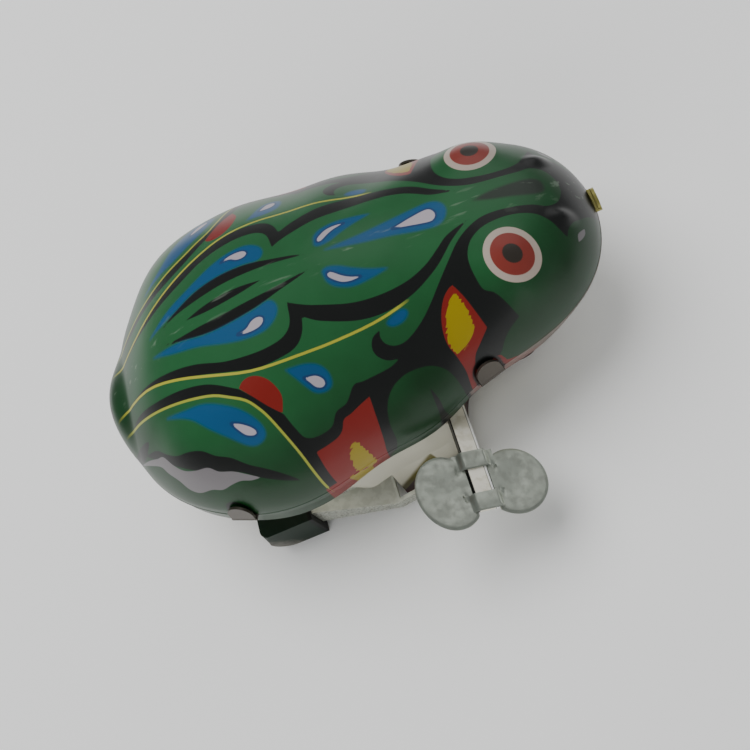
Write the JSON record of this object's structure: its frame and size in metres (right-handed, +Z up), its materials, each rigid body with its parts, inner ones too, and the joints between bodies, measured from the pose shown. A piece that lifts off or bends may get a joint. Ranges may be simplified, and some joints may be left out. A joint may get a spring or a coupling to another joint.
{
  "type": "wind-up jumping frog toy",
  "caption": "Tin wind-up jumping frog: printed pressed shell over a belly pan, side winding key, spring motor and sprung kick lever with hind feet.",
  "frame": {"origin": "on the ground, on the flat underside of the belly pan below the middle of the body", "axes": "+X from tail to nose along the body, +Y to the frog's left, +Z up; the winding key is on -Y"},
  "size_m": [0.078, 0.0612, 0.032],
  "materials": {
    "printed_tin": "gloss",
    "printed_pan": "gloss",
    "plated_steel": "satin",
    "rivet_steel": "satin",
    "gear_brass": "satin",
    "key_steel": "satin",
    "spring_steel": "satin",
    "lever_steel": "satin",
    "foot_paint": "semi-gloss"
  },
  "bodies": {
    "frame": {"body_shell": "printed_tin", "belly_pan": "printed_pan", "motor_plate_right": "plated_steel", "motor_plate_left": "plated_steel", "pillar_rear": "plated_steel", "pillar_upper_front": "plated_steel", "pillar_lower_front": "plated_steel", "pillar_keel": "plated_steel", "frame_rivets": "rivet_steel", "mainspring": "spring_steel", "lever_rivet_right": "rivet_steel", "lever_rivet_left": "rivet_steel", "return_spring": "spring_steel"},
    "winder": {"winding_arbor": "key_steel", "winding_key": "key_steel", "ratchet_wheel": "gear_brass"},
    "great": {"great_wheel": "gear_brass", "click": "plated_steel", "click_rivet": "rivet_steel", "click_spring": "spring_steel"},
    "second": {"second_arbor": "rivet_steel", "second_pinion": "gear_brass", "second_wheel": "gear_brass"},
    "cam": {"cam_arbor": "rivet_steel", "cam_pinion": "gear_brass", "kick_cam": "plated_steel"},
    "lever": {"kick_lever": "lever_steel", "foot_right": "foot_paint", "foot_left": "foot_paint"}
  },
  "joints": [
    {"name": "key_turn", "type": "hinge", "parent": "frame", "child": "winder", "pos_m": [0.0097, 0, 0.012], "axis": [0, 1, 0], "continuous": true},
    {"name": "great_wheel_turn", "type": "hinge", "parent": "frame", "child": "great", "pos_m": [0.0097, 0, 0.012], "axis": [0, 1, 0], "continuous": true},
    {"name": "second_turn", "type": "hinge", "parent": "frame", "child": "second", "pos_m": [-0.0012, 0, 0.0157], "axis": [0, 1, 0], "continuous": true},
    {"name": "cam_turn", "type": "hinge", "parent": "frame", "child": "cam", "pos_m": [-0.01, 0, 0.0121], "axis": [0, 1, 0], "continuous": true},
    {"name": "lever_kick", "type": "hinge", "parent": "frame", "child": "lever", "pos_m": [0.005, 0, 0.0021], "axis": [0, -1, 0], "range_deg": [0, 26], "stiffness_Nm_per_rad": 0.01, "springref_deg": -14.32}
  ],
  "couplings": [
    {"joint": "second_turn", "follows": "great_wheel_turn", "ratio": -3.6},
    {"joint": "cam_turn", "follows": "great_wheel_turn", "ratio": 10.08}
  ]
}
